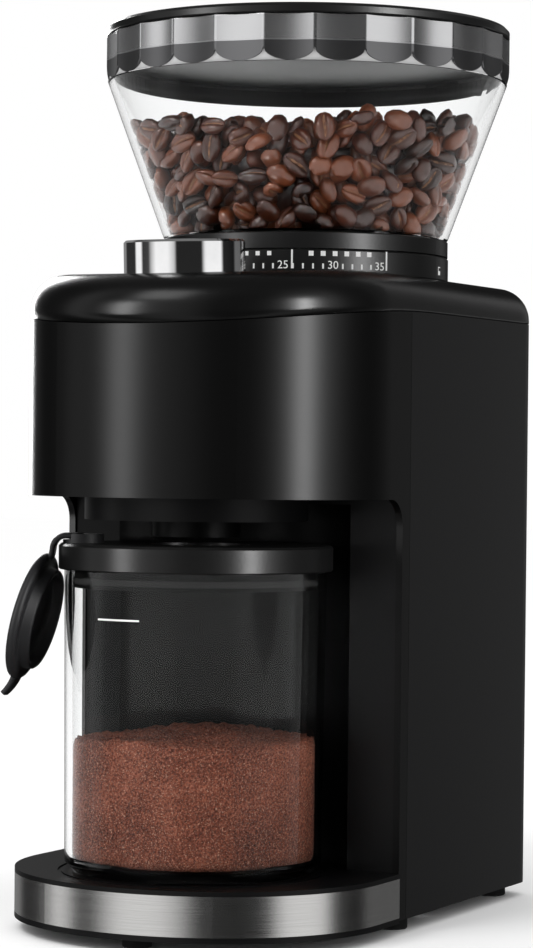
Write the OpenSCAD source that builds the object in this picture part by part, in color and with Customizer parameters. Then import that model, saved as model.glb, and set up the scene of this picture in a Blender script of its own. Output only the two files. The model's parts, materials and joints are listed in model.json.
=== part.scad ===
// Burr coffee grinder: bean hopper on a turning grind dial, conical burrs over a
// geared motor, and a ground-coffee container standing in an open front bay.
// Millimetres. +Z is up, -Y is the front, +X is the machine's right-hand side.

/* [Body] */
// Width of the body shells
body_w = 130; // [124:1:150]
// Wall of the outer shells
wall = 2.4; // [1.8:0.1:3]
// Front of the head, in front of the origin
head_front = 97.3; // [92:0.5:102]
// How far the rounded front stands ahead of the straight sides
head_bulge = 60.3; // [54:0.5:62]
// Radius of the broad front curve
head_r = 71; // [69:1:90]
// Back of the body, behind the origin
body_back = 98; // [97.5:0.5:112]
// Radius of the rear corners seen from above
back_r = 13; // [12.5:0.5:20]
// Joint between the front shell and the rear shell
seam_y = -19.5; // [-21:0.5:-17]
// Width of the front shell's legs beside the bay
leg_w = 6; // [5:0.5:8]
// Visible gap along the shell joints
seam_gap = 0.2; // [0.1:0.05:0.4]

/* [Heights] */
// Underside of the shells above the table
shell_z = 5; // [4.6:0.1:6]
// Underside of the head, the roof of the bay
head_z = 147.5; // [146:0.5:147.5]
// Joint between the shells and the top cover
seam_z = 211.8; // [206:0.1:218]
// Flat part of the top cover
top_z = 224.9; // [221:0.1:231]
// Fall of the shell joint's curve towards the front, as a radius
seam_curve_r = 680; // [600:10:900]
// Where the top cover starts to fall, in front of the origin
fall_y = 22; // [21.5:0.5:26]
// Fall of the top cover's front, and lean of the knob
knob_tilt = 3.2; // [2.5:0.1:3.5]
// Rounding of the top cover's edge
top_edge_r = 12; // [9:0.5:12]
// Rounding of the bay's upper corners
bay_r = 9; // [5:0.5:12]

/* [Base] */
// Width of the base under the container
base_w = 131; // [125:1:151]
// How far the base's round front stands ahead of its straight sides
base_bulge = 61; // [56:0.5:63]
// Radius of the base's broad front curve
base_r = 72; // [70:1:90]
// Front of the base, in front of the origin
base_front = 104.25; // [102:0.25:110]
// Lower edge of the steel band
band_z = 6.1; // [5:0.1:8]
// Height of the steel band
band_h = 13.3; // [10:0.1:16]
// Thickness of the steel band
band_t = 0.8; // [0.5:0.1:1.2]
// Thickness of the tray's top plate
tray_t = 1.6; // [1.2:0.1:3]
// Radius of a rubber foot
foot_r = 5; // [4:0.5:6]
// Height of a rubber foot
foot_h = 4.2; // [3:0.1:4.4]

/* [Hopper] */
// Hopper and burr axis, behind the origin
hopper_y = 31.05; // [28:0.05:36]
// Radius of the lid, the widest part
hopper_r = 73.2; // [68:0.1:78]
// Radius of the cone at its foot
hopper_foot_r = 51.6; // [49:0.1:56]
// Radius of the cone under the grip band
hopper_top_r = 72.4; // [67:0.1:76]
// Wall of the clear hopper
hopper_t = 2.2; // [1.6:0.1:3]
// Foot of the clear cone
cone_z = 240.6; // [236:0.1:246]
// Lower edge of the fluted grip band
grip_z = 296.8; // [288:0.1:304]
// Lower edge of the lid's rim
lid_z = 313; // [306:0.1:320]
// Height of the lid's rim
lid_h = 3.5; // [3:0.1:6]
// Radius of the skirt under the lid
plug_r = 69.4; // [60:0.1:69.6]
// Number of flutes round the grip band
flutes = 26; // [18:1:32]

/* [Grind dial and burrs] */
// Radius of the grind dial
dial_r = 51.8; // [50:0.1:56]
// Height of the dial's rim
dial_h = 8.7; // [7:0.1:11]
// Outer radius of the dial's inner sleeve
sleeve_r = 31; // [30:0.1:34]
// Largest radius of the inner burr
burr_r = 17; // [15:0.5:19]
// Outer radius of the ring burr
ring_r = 24; // [22:0.5:25]
// Height of the burrs
burr_h = 20; // [16:0.5:20]
// Underside of the inner burr
burr_z = 184; // [183:0.5:185]
// Radial gap between the burrs
burr_gap = 0.9; // [0.8:0.1:1.5]
// Inner radius of the grinding chamber
chamber_r = 34; // [33:0.5:38]

/* [Drive] */
// Radius of the drive shaft under the burr
shaft_r = 5; // [4:0.5:6]
// Motor axis, behind the hopper axis
motor_dy = 36; // [34:0.5:37]
// Radius of the motor can
motor_r = 27; // [24:0.5:27]
// Length of the motor can
motor_len = 80; // [60:1:90]
// Radius of the motor shaft
motor_shaft_r = 2.5; // [2:0.1:3]
// Radial clearance of every running shaft
run_gap = 0.05; // [0.02:0.01:0.1]
// Teeth on the motor pinion
pinion_teeth = 12; // [12:1:14]
// Teeth on the large idler gear
idler_teeth = 40; // [36:1:42]
// Teeth on the idler's small pinion
second_teeth = 12; // [12:1:14]
// Teeth on the output gear
output_teeth = 44; // [40:1:46]
// Module of the first gear pair
module_1 = 1; // [0.9:0.05:1]
// Module of the second gear pair
module_2 = 1.25; // [1.1:0.05:1.25]
// Thinning of each tooth, for backlash
backlash = 0.24; // [0.15:0.01:0.4]

/* [Knob] */
// Knob axis, in front of the origin
knob_y = 62; // [56:0.5:64]
// Radius of the selector knob
knob_r = 20.5; // [18:0.1:22]
// Height of the knob
knob_h = 11.5; // [10:0.1:16]
// Wall of the knob
knob_t = 1.6; // [1.2:0.1:2.4]
// Radius of the start button in the knob's top
button_r = 9; // [7:0.1:11]
// Travel of the start button
button_travel = 1.5; // [1:0.1:2]

/* [Container] */
// Container axis, in front of the origin
jar_y = 51.65; // [50:0.05:54]
// Radius of the container at its mouth
jar_r = 44.6; // [41:0.1:45]
// Radius of the container at its foot
jar_foot_r = 43.6; // [40:0.1:44]
// Wall of the container
jar_t = 2.5; // [2:0.1:3.5]
// Gap between the container and the tray
jar_gap = 0.3; // [0.2:0.05:0.5]
// Top of the container's clear wall
jar_top_z = 122.6; // [118:0.1:126]
// Radius of the container's lid
jar_lid_r = 46.6; // [45.5:0.1:48]
// Top of the container's lid
jar_lid_z = 131.6; // [127:0.1:134]
// Radius of the filling hole in the lid
fill_r = 18; // [15:0.5:20]

/* [Rubber flap] */
// Direction of the flap round the lid, from the front towards the left
flap_az = 63.5; // [55:0.5:76]
// Outward lean of the hanging cap
flap_lean = 14.3; // [8:0.1:25]
// Radius of the flap's round cap
cap_r = 22; // [20:0.5:24]
// Thickness of the cap
cap_t = 3.4; // [2.5:0.1:4]

/* [Chute] */
// Radius of the round skirt under the head
skirt_r = 38; // [34:0.1:40]
// Lower edge of the skirt
skirt_z = 139.8; // [137:0.1:143]
// Outer radius of the outlet tube
outlet_r = 15; // [12:0.5:16]
// Lower edge of the outlet tube
outlet_z = 134.2; // [133:0.1:138]

/* [Hidden] */
$fn = 96;

eps = 0.01;
far = 400;
half_w = body_w / 2;
base_half_w = base_w / 2;
// the straight sides of head and base start at these depths
head_y0 = -head_front + head_bulge;
base_y0 = -base_front + base_bulge;
leg_y = seam_y - leg_w;
// the base ends just ahead of the front shell's legs
base_end = leg_y - 0.3;
band_top = band_z + band_h;
tray_z = band_top + tray_t;
jar_z = tray_z + jar_gap;
motor_y = hopper_y + motor_dy;
lid_top = lid_z + lid_h;

// recess of the bay panel that the container stands in
bay_clear = 6;
bay_pocket_r = jar_lid_r + bay_clear;
panel_t = 2;
roof_t = 2.4;

// clearances between bodies
slip = 0.3;
foot_head_r = 3;
foot_head_h = 1.4;
box_head_r = 3;
box_head_h = 2;
dial_z = top_z + slip;
dial_top = dial_z + dial_h;
sleeve_in_r = sleeve_r - 3;
sleeve_z = 205;
cover_hole_r = sleeve_r + 1.4;
carrier_out_r = sleeve_in_r - slip;
spout_r = sleeve_in_r - 4;
spout_z = 214;
chamber_z = 176;
chamber_top = 203;
carrier_z = chamber_top + 3;
chamber_floor = 2;
bearing_r = 11;
bearing_h = 5;

// gearbox
box_z = 148;
box_top = 172;
box_cover_t = 3;
box_t = 2.5;
layer_1 = 152;
layer_2 = 160.5;
face_1 = 7;
face_2 = 9;
pressure_angle = 25;
addendum = 0.9;
dedendum = 1.2;
dist_1 = module_1 * (pinion_teeth + idler_teeth) / 2;
dist_2 = module_2 * (second_teeth + output_teeth) / 2;
// the idler stands where both centre distances meet
idler_t = (dist_2 * dist_2 - dist_1 * dist_1 + motor_dy * motor_dy) / (2 * motor_dy);
idler_x = sqrt(dist_2 * dist_2 - idler_t * idler_t);
idler_y = hopper_y + idler_t;
idler_axle_r = 3;
dir_1 = atan2(idler_y - motor_y, idler_x);
dir_2 = atan2(hopper_y - idler_y, -idler_x);
box_x0 = -35;
box_x1 = idler_x + module_1 * idler_teeth / 2 + 5;
box_y0 = hopper_y - module_2 * output_teeth / 2 - 5;
box_y1 = motor_y + 18;

// motor
motor_top = 144;
motor_z = motor_top - motor_len;
magnet_t = 4;
armature_r = motor_r - 2 - magnet_t - 1;

// knob
// heights from here on are measured from the cover's surface, along the knob's axis
knob_seat = -0.6;
hub_r = 5;
stem_r = 1.8;
board_z = -24;
board_t = 1.6;
encoder_top = board_z + board_t + 10;
switch_top = board_z + board_t + 4.8;
hub_z = switch_top - 0.8;

// flap, worked out in a frame whose +X points outwards from the container
hinge_u = jar_lid_r - 3.2;
hinge_z = jar_lid_z + 2.4;
strap_w = 11;
strap_t = 2;
anchor_r = 7;
anchor_u = jar_lid_r - 8.3;
anchor_h = 3.1;

function side_r(a, b, r) = (r * r - a * a - pow(r - b, 2)) / (2 * (r - a));

// plan outline: a broad front arc that runs into tighter side arcs, then straight sides
module front_outline(a, b, r, y0) {
    o = r - b;
    s = side_r(a, b, r);
    // the front arc stops just short of where the arcs touch, inside the side arcs
    w = atan2(a - s, o) - 3;
    translate([0, y0 + o])
        intersection() {
            circle(r, $fn = 180);
            polygon([[0, 0], [300 * sin(w), -300 * cos(w)], [-300 * sin(w), -300 * cos(w)]]);
        }
    for (side = [-1, 1])
        translate([side * (a - s), y0])
            circle(s, $fn = 180);
}

module body_outline(t, y_end = body_back) {
    a = half_w - t;
    back = y_end - t;
    rc = back_r - t;
    front_outline(a, head_bulge - t, head_r - t, head_y0);
    // flats sit a hair inside the arcs that they run into
    translate([eps - a, head_y0])
        square([2 * (a - eps), back - rc - head_y0]);
    translate([-a + rc, head_y0])
        square([2 * (a - rc), back - eps - head_y0]);
    for (side = [-1, 1])
        translate([side * (a - rc), back - rc])
            circle(rc, $fn = 72);
}

module base_outline(t) {
    front_outline(base_half_w - t, base_bulge - t, base_r - t, base_y0);
    translate([eps - base_half_w + t, base_y0])
        square([2 * (base_half_w - t - eps), 90]);
}

module rounded_rect(x0, x1, y0, y1, r) {
    translate([x0 + r, y0])
        square([x1 - x0 - 2 * r, y1 - y0]);
    translate([x0, y0 + r])
        square([x1 - x0, y1 - y0 - 2 * r]);
    for (x = [x0 + r, x1 - r], y = [y0 + r, y1 - r])
        translate([x, y])
            circle(r, $fn = 48);
}

module slab(z0, z1) {
    translate([0, 0, z0])
        linear_extrude(z1 - z0)
            children();
}

module tube(r_out, r_in, z0, z1) {
    translate([0, 0, z0])
        difference() {
            cylinder(r = r_out, h = z1 - z0);
            translate([0, 0, -1])
                cylinder(r = r_in, h = z1 - z0 + 2);
        }
}

module disc(r, z0, z1) {
    translate([0, 0, z0])
        cylinder(r = r, h = z1 - z0);
}

module box(x0, x1, y0, y1, z0, z1) {
    translate([x0, y0, z0])
        cube([x1 - x0, y1 - y0, z1 - z0]);
}

// everything under a surface that is level at z and falls away towards the front
module under_curve(z, r) {
    box(-far, far, 0, far, -far, z);
    intersection() {
        translate([0, 0, z - r])
            rotate([0, 90, 0])
                cylinder(r = r, h = 2 * far, center = true, $fn = 360);
        box(-far, far, -far, eps, -far, far);
    }
}

// what the top cover's front loses above its falling face
module above_front(z) {
    translate([0, -fall_y, z])
        rotate([knob_tilt, 0, 0])
            translate([-200, -200, 0])
                cube([400, 200, 60]);
}

// solid under the top cover's skin, inset by t, with a rounded upper edge
module cover_solid(t) {
    e = top_edge_r - t;
    z_edge = top_z - t - e;
    hull() {
        slab(z_edge - 12, z_edge)
            body_outline(t);
        for (k = [1:6])
            slab(z_edge + e * sin(15 * k) - eps, z_edge + e * sin(15 * k))
                body_outline(t + e * (1 - cos(15 * k)));
    }
}

/* ---- base ---- */

module bottom_cover() {
    color("#1a1a1b")
        difference() {
            union() {
                intersection() {
                    slab(foot_h, band_z)
                        base_outline(0);
                    box(-far, far, -far, base_end, 0, far);
                }
                intersection() {
                    slab(foot_h, band_z)
                        body_outline(wall + 0.2);
                    box(-far, far, base_end - 1, far, 0, far);
                }
            }
            for (p = screw_spots)
                translate([p[0], p[1], 0])
                    cylinder(r = 1.8, h = 20, $fn = 24);
            for (k = [-4:4])
                box(-20, 20, motor_y + k * 5 - 1.25, motor_y + k * 5 + 1.25, 0, 20);
        }
}

screw_spots = [[-54, 20], [54, 20], [-54, 84], [54, 84]];
// the two rear feet sit over the heads of the rear screws
foot_spots = [[0, -90.3], [-56, -10], [56, -10], screw_spots[2], screw_spots[3]];

module rubber_feet() {
    color("#222222")
        for (p = foot_spots)
            translate([p[0], p[1], 0])
                rotate_extrude($fn = 48)
                    polygon([[0, 0], [foot_r - 0.5, 0], [foot_r, 0.5], [foot_r, foot_h],
                             [foot_head_r + slip, foot_h],
                             [foot_head_r + slip, foot_h - foot_head_h - slip],
                             [0, foot_h - foot_head_h - slip]]);
}

module base_tray() {
    color("#161617")
        difference() {
            union() {
                intersection() {
                    slab(band_top, tray_z)
                        base_outline(0);
                    box(-far, far, -far, base_end, 0, far);
                }
                // tongue that fills the bay's round pocket
                intersection() {
                    translate([0, -jar_y, 0])
                        disc(bay_pocket_r - 0.3, band_top, tray_z);
                    box(-far, far, base_end - 1, far, 0, far);
                }
                // rim behind the steel band
                intersection() {
                    slab(band_z, band_top)
                        difference() {
                            base_outline(band_t);
                            base_outline(band_t + 2);
                        }
                    box(-far, far, -far, base_end, 0, far);
                }
            }
            // groove that marks the container's place
            translate([0, -jar_y, 0]) {
                tube(jar_foot_r + 2.2, jar_foot_r + 1, tray_z - 0.5, tray_z + 1);
                disc(mat_r + 0.1, tray_z - mat_t, tray_z + 1);
            }
        }
}

mat_r = 30;
mat_t = 0.8;

module container_mat() {
    color("#2a2a2a")
        translate([0, -jar_y, 0])
            disc(mat_r, tray_z - mat_t, tray_z);
}

module base_band() {
    color("#b9bab8")
        intersection() {
            slab(band_z, band_top)
                difference() {
                    base_outline(0);
                    base_outline(band_t);
                }
            box(-far, far, -far, base_end, 0, far);
        }
}

/* ---- shells ---- */

// profile of the bay, seen from the side, cut right through the front shell
module bay_cut() {
    rotate([90, 0, 90])
        linear_extrude(2 * far, center = true)
            difference() {
                translate([-far, -far])
                    square([far + leg_y, far + head_z]);
                translate([leg_y - bay_r, head_z - bay_r])
                    difference() {
                        square(bay_r + 1);
                        circle(bay_r, $fn = 72);
                    }
            }
}

module front_housing() {
    color("#141415")
        difference() {
            intersection() {
                slab(shell_z, seam_z)
                    difference() {
                        body_outline(0);
                        body_outline(wall);
                    }
                box(-far, far, -far, seam_y - seam_gap / 2, 0, far);
                under_curve(seam_z - seam_gap, seam_curve_r);
            }
            bay_cut();
        }
}

module rear_housing() {
    color("#1c1c1d")
        difference() {
            intersection() {
                slab(shell_z, seam_z)
                    difference() {
                        body_outline(0);
                        body_outline(wall);
                    }
                box(-far, far, seam_y + seam_gap / 2, far, 0, far);
                under_curve(seam_z - seam_gap, seam_curve_r);
            }
            // cord gland hole and cooling slots in the back
            translate([0, body_back, gland_z])
                rotate([90, 0, 0])
                    cylinder(r = gland_r, h = 20, center = true, $fn = 48);
            for (k = [0:6])
                box(-24, 24, body_back - 10, far, 46 + k * 7, 49 + k * 7);
        }
}

module top_cover() {
    color("#0f0f10") {
        difference() {
            cover_solid(0);
            difference() {
                cover_solid(wall);
                above_front(top_z - wall);
                at_knob()
                    disc(knob_r + 3, knob_seat - 2, 20);
            }
            above_front(top_z);
            under_curve(seam_z, seam_curve_r);
            translate([0, hopper_y, 0])
                disc(cover_hole_r, 0, far);
            at_knob() {
                disc(knob_r + 0.5, knob_seat, 60);
                disc(hub_r + 0.8, -20, 60);
            }
            translate([plunger_x, hopper_y, 0])
                disc(plunger_r + 0.4, 0, far);
        }
        at_knob()
            for (p = board_posts)
                translate([p[0], p[1], 0])
                    disc(3, board_z + board_t, -2);
    }
}

// back wall of the bay: flat flanks, and a round pocket with a roof for the container
module bay_panel() {
    inside = half_w - wall - 0.2;
    color("#131314") {
        slab(band_z, head_z)
            difference() {
                union() {
                    intersection() {
                        translate([0, -jar_y])
                            circle(bay_pocket_r + panel_t, $fn = 120);
                        translate([-inside, leg_y + 1])
                            square([2 * inside, 60]);
                    }
                    translate([-inside, leg_y + 1])
                        square([2 * inside, panel_t]);
                }
                translate([0, -jar_y])
                    circle(bay_pocket_r, $fn = 120);
            }
        slab(head_z - 2, head_z)
            intersection() {
                translate([0, -jar_y])
                    circle(bay_pocket_r + 1, $fn = 120);
                difference() {
                    translate([-far, leg_y + 1])
                        square([2 * far, 60]);
                    translate([0, -jar_y])
                        circle(skirt_r + slip, $fn = 120);
                }
            }
    }
}

module head_underplate() {
    color("#101011")
        difference() {
            slab(head_z, head_z + roof_t)
                intersection() {
                    body_outline(wall + 0.2);
                    translate([-far, -far])
                        square([2 * far, far + leg_y + 6]);
                }
            translate([0, -jar_y, 0])
                disc(outlet_r + 1, 0, far);
        }
}

module chute_skirt() {
    color("#121213")
        translate([0, -jar_y, 0])
            tube(skirt_r, skirt_r - 2, skirt_z, head_z);
}

// sloping duct from the grinding chamber to the outlet over the container
duct_w = 20;
duct_h = 13;
duct_angle = 33;
duct_z = 186;
duct_len = 62;
duct_t = 1.6;

module duct(t, extra) {
    translate([0, hopper_y - chamber_r - 1, duct_z])
        rotate([duct_angle, 0, 0])
            translate([-duct_w / 2 - t, -duct_len - extra, -duct_h / 2 - t])
                cube([duct_w + 2 * t, duct_len + 12 + extra, duct_h + 2 * t]);
}

module grounds_chute() {
    color("#1d1d1e")
        difference() {
            union() {
                duct(duct_t, 0);
                translate([0, -jar_y, 0])
                    disc(outlet_r, outlet_z, 168);
            }
            duct(0, 0);
            intersection() {
                duct(0, 8);
                translate([0, -jar_y, 0])
                    disc(outlet_r - duct_t, 0, far);
            }
            translate([0, -jar_y, 0])
                disc(outlet_r - duct_t, outlet_z - 1, 162);
            translate([0, hopper_y, 0])
                disc(chamber_r + 3.2, 100, far);
        }
}

/* ---- frame, burr housing, gearbox ---- */

module inner_frame() {
    color("#8f9193")
        difference() {
            union() {
                slab(motor_top, box_z)
                    rounded_rect(-59, 59, 12, 92, 6);
                for (p = screw_spots)
                    box(p[0] - 5, p[0] + 5, p[1] - 5, p[1] + 5, band_z, motor_top + 1);
            }
            translate([0, motor_y, 0])
                disc(12, 0, far);
            for (p = screw_spots)
                translate([p[0], p[1], 0])
                    cylinder(r = 1.5, h = band_z + 12, $fn = 24);
            for (p = box_screws)
                translate([p[0], p[1], 0])
                    cylinder(r = 1.5, h = far, $fn = 24);
        }
}

box_screws = [[box_x0 + 4.2, box_y0 + 16], [box_x1 - 4.2, box_y0 + 16],
              [box_x0 + 4.2, box_y1 - 4.2], [box_x1 - 4.2, box_y1 - 4.2]];

module gearbox_housing() {
    color("#c9cacc")
        difference() {
            slab(box_z, box_top)
                rounded_rect(box_x0, box_x1, box_y0, box_y1, 8);
            difference() {
                slab(box_z + box_t, far)
                    rounded_rect(box_x0 + box_t, box_x1 - box_t, box_y0 + box_t, box_y1 - box_t, 6);
                for (p = box_screws)
                    translate([p[0], p[1], 0])
                        cylinder(r = 4.2, h = far, $fn = 36);
                translate([0, hopper_y, 0])
                    disc(bearing_r + 2, 0, box_z + bearing_h + 1);
            }
            translate([0, hopper_y, 0])
                disc(bearing_r, box_z + 1, far);
            translate([0, motor_y, 0])
                disc(motor_shaft_r + 2, 0, far);
            translate([idler_x, idler_y, 0])
                disc(idler_axle_r, 0, box_z + box_t + 1);
            for (p = box_screws)
                translate([p[0], p[1], 0])
                    cylinder(r = 1.5, h = far, $fn = 24);
        }
}

module gearbox_cover() {
    color("#c2c3c5")
        difference() {
            slab(box_top, box_top + box_cover_t)
                rounded_rect(box_x0, box_x1, box_y0, box_y1, 8);
            translate([0, hopper_y, 0])
                disc(bearing_r + 2, 0, far);
            translate([idler_x, idler_y, 0])
                disc(idler_axle_r, 0, far);
            for (p = box_screws)
                translate([p[0], p[1], 0])
                    cylinder(r = 1.8, h = far, $fn = 24);
        }
}

module grinding_chamber() {
    color("#232425")
        difference() {
            translate([0, hopper_y, 0])
                union() {
                    tube(chamber_r + 3, chamber_r, chamber_z, chamber_top);
                    disc(chamber_r + 3, chamber_z, chamber_z + chamber_floor);
                    // bearing seat that reaches through the gearbox cover
                    disc(bearing_r + 2, box_top, chamber_z + 1);
                }
            translate([0, hopper_y, 0]) {
                disc(bearing_r, 0, box_top + bearing_h);
                disc(shaft_r + 0.6, 0, far);
            }
            for (p = box_screws)
                translate([p[0], p[1], 0])
                    disc(box_head_r + slip, 0, box_top + box_cover_t + box_head_h + slip);
            duct(0, 0);
        }
}

module burr_holder() {
    color("#2c2d2e")
        translate([0, hopper_y, 0])
            difference() {
                union() {
                    tube(chamber_r + 3, ring_r + 1, chamber_top, chamber_top + 1.8);
                    tube(chamber_r + 6, chamber_r + 3, chamber_top - 6, chamber_top + 1.8);
                }
                disc(ring_r + 1, 0, far);
            }
}

module upper_bearing() {
    color("#a9abad")
        translate([0, hopper_y, 0])
            tube(bearing_r - 0.02, shaft_r + run_gap, box_top, box_top + bearing_h - 0.02);
}

module lower_bearing() {
    color("#a9abad")
        translate([0, hopper_y, 0])
            tube(bearing_r - 0.02, shaft_r + run_gap, box_z + 1, box_z + 1 + bearing_h);
}

module idler_axle() {
    color("#9a9c9e")
        translate([idler_x, idler_y, 0])
            disc(idler_axle_r - 0.02, box_z + 0.1, box_top + box_cover_t);
}

/* ---- motor ---- */

module motor_can() {
    color("#7d7f82")
        translate([0, motor_y, 0])
            difference() {
                tube(motor_r, motor_r - 2, motor_z, motor_top);
                for (a = [0:60:300])
                    rotate([0, 0, a])
                        box(motor_r - 4, motor_r + 2, -3, 3, motor_z + 4, motor_z + 14);
            }
}

module motor_end_plate() {
    color("#8b8d90")
        translate([0, motor_y, 0]) {
            tube(motor_r - 2, 6, motor_top - 3, motor_top);
            tube(motor_r - 2, 6, motor_z, motor_z + 2);
        }
}

module motor_bearings() {
    color("#b08d4c")
        translate([0, motor_y, 0]) {
            tube(5.98, motor_shaft_r + run_gap, motor_top - 3, motor_top);
            tube(5.98, motor_shaft_r + run_gap, motor_z, motor_z + 2);
        }
}

module motor_magnets() {
    color("#3a3b3d")
        translate([0, motor_y, 0])
            difference() {
                tube(motor_r - 2, motor_r - 2 - magnet_t, motor_z + 20, motor_top - 16);
                for (side = [-1, 1])
                    box(-4, 4, side * motor_r - 8, side * motor_r + 8, 0, far);
            }
}

module motor_shaft() {
    color("#b5b7ba")
        translate([0, motor_y, 0])
            disc(motor_shaft_r, motor_z - 2, layer_1 + face_1 + 1);
}

module armature() {
    color("#6f4a2c")
        translate([0, motor_y, 0])
            difference() {
                disc(armature_r, motor_z + 22, motor_top - 20);
                disc(motor_shaft_r, 0, far);
                for (a = [0:45:315])
                    rotate([0, 0, a])
                        box(armature_r - 5, armature_r + 1, -1, 1, 0, far);
            }
}

module commutator() {
    color("#b87333")
        translate([0, motor_y, 0])
            tube(8, motor_shaft_r, motor_top - 14, motor_top - 6);
}

module cooling_fan() {
    color("#dcdcdc")
        translate([0, motor_y, 0])
            difference() {
                union() {
                    disc(8, motor_z + 5, motor_z + 15);
                    disc(motor_r - 4, motor_z + 14, motor_z + 15);
                    for (a = [0:45:315])
                        rotate([0, 0, a])
                            box(6, motor_r - 4, -0.7, 0.7, motor_z + 5, motor_z + 14.5);
                }
                disc(motor_shaft_r, 0, far);
            }
}

/* ---- gears ---- */

function inv(a) = tan(a) * 180 / PI - a;
function flank(r, rb, rp, n) =
    90 / n - backlash * 90 / (PI * rp) + inv(pressure_angle) - inv(acos(min(1, rb / r)));
function polar(r, a) = [r * cos(a), r * sin(a)];

module gear_outline(n, m) {
    rp = n * m / 2;
    rb = rp * cos(pressure_angle);
    rr = rp - dedendum * m;
    ra = rp + addendum * m;
    r0 = max(rr, rb);
    steps = 3;
    rs = [rr, for (k = [0:steps]) r0 + (ra - r0) * k / steps];
    polygon([
        for (i = [0:n - 1])
            each concat(
                [for (k = [0:steps + 1]) polar(rs[k], i * 360 / n - flank(max(rs[k], rb), rb, rp, n))],
                [for (k = [steps + 1:-1:0]) polar(rs[k], i * 360 / n + flank(max(rs[k], rb), rb, rp, n))])
    ]);
}

module motor_pinion() {
    color("#c9a24a")
        translate([0, motor_y, 0])
            difference() {
                slab(layer_1, layer_1 + face_1)
                    rotate(dir_1)
                        gear_outline(pinion_teeth, module_1);
                disc(motor_shaft_r, 0, far);
            }
}

module idler_gear() {
    color("#e4e2d8")
        translate([idler_x, idler_y, 0])
            difference() {
                union() {
                    slab(layer_1, layer_1 + face_1)
                        rotate(dir_1 + 180 + 180 / idler_teeth)
                            gear_outline(idler_teeth, module_1);
                    slab(layer_1 + face_1 - 1, layer_2 + face_2)
                        rotate(dir_2)
                            gear_outline(second_teeth, module_2);
                }
                disc(idler_axle_r - 0.02 + run_gap, 0, far);
            }
}

module output_gear() {
    color("#dedcd2")
        translate([0, hopper_y, 0])
            difference() {
                slab(layer_2, layer_2 + face_2)
                    rotate(dir_2 + 180 + 180 / output_teeth)
                        gear_outline(output_teeth, module_2);
                disc(shaft_r, 0, far);
                for (a = [0:60:300])
                    rotate([0, 0, a])
                        translate([15.5, 0, 0])
                            cylinder(r = 4.5, h = far, $fn = 36);
            }
}

/* ---- burr set ---- */

module burr_star(r, deep, n) {
    polygon([for (i = [0:n - 1]) each [
        polar(r, i * 360 / n),
        polar(r, (i + 0.45) * 360 / n),
        polar(r - deep, (i + 0.6) * 360 / n)
    ]]);
}

burr_slope = (burr_r - 7) / burr_h;

module inner_burr() {
    color("#9c9ea1")
        translate([0, hopper_y, 0])
            difference() {
                translate([0, 0, burr_z])
                    linear_extrude(burr_h, twist = 40, scale = 7 / burr_r, slices = 8)
                        burr_star(burr_r, 2, 12);
                disc(shaft_r - 1, 0, far);
            }
}

module ring_burr() {
    color("#94969a")
        translate([0, hopper_y, 0])
            difference() {
                disc(ring_r, burr_z + 4, burr_z + burr_h);
                translate([0, 0, burr_z + 3])
                    cylinder(r1 = burr_r + burr_gap - 3 * burr_slope,
                             r2 = burr_r + burr_gap - (burr_h + 1) * burr_slope,
                             h = burr_h - 2);
                for (a = [0:20:340])
                    rotate([0, 0, a])
                        translate([burr_r + burr_gap - 4 * burr_slope, 0, burr_z + 3])
                            rotate([0, -atan(burr_slope), 0])
                                cylinder(r = 1.1, h = burr_h, $fn = 16);
            }
}

module burr_carrier() {
    color("#303133")
        translate([0, hopper_y, 0]) {
            tube(carrier_out_r, ring_r, carrier_z, burr_z + burr_h + 6);
            tube(ring_r, ring_r - 4, burr_z + burr_h, burr_z + burr_h + 6);
        }
}

module drive_shaft() {
    color("#b5b7ba")
        translate([0, hopper_y, 0]) {
            disc(shaft_r, box_z + 1.2, burr_z);
            disc(shaft_r - 1, burr_z, burr_z + burr_h + 4);
        }
}

module burr_nut() {
    color("#c5c7ca")
        translate([0, hopper_y, 0])
            difference() {
                translate([0, 0, burr_z + burr_h])
                    cylinder(r = 6, h = 4, $fn = 6);
                disc(shaft_r - 1, 0, far);
            }
}

module sweeper() {
    color("#e8e6dc")
        translate([0, hopper_y, 0])
            difference() {
                union() {
                    disc(burr_r + 3, burr_z - 4, burr_z);
                    for (a = [0:90:270])
                        rotate([0, 0, a])
                            box(10, chamber_r - 1, -1.5, 1.5, burr_z - 5, burr_z);
                }
                disc(shaft_r, 0, far);
            }
}

/* ---- dial and hopper ---- */

module dial_ring() {
    color("#0e0e0f")
        translate([0, hopper_y, 0]) {
            rotate_extrude($fn = 144)
                polygon([[dial_r - 3, dial_z], [dial_r - 0.4, dial_z], [dial_r, dial_z + 0.4],
                         [dial_r, dial_top - 0.6], [dial_r - 0.6, dial_top], [dial_r - 3, dial_top]]);
            tube(dial_r - 3, sleeve_in_r, dial_z, dial_z + 2);
            tube(sleeve_r, sleeve_in_r, sleeve_z + 4, dial_z);
        }
}

// funnel wall, from the spout up through the cone to the grip band
module hopper() {
    floor_z = dial_z + 2 + slip;
    color("#dfe6ea", 0.35)
        translate([0, hopper_y, 0])
            rotate_extrude($fn = 180)
                polygon([
                    [spout_r - 2, spout_z], [spout_r, spout_z], [spout_r, floor_z + 1],
                    [hopper_foot_r - 4, cone_z - 3], [hopper_foot_r, cone_z],
                    [hopper_top_r, grip_z], [band_in_r, grip_z],
                    [band_in_r, lid_z - slip], [hopper_top_r - hopper_t, lid_z - slip],
                    [hopper_top_r - hopper_t, grip_z + 1],
                    [hopper_foot_r - hopper_t, cone_z + 0.6], [spout_r - 2, floor_z + 3.6]
                ]);
}

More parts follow.
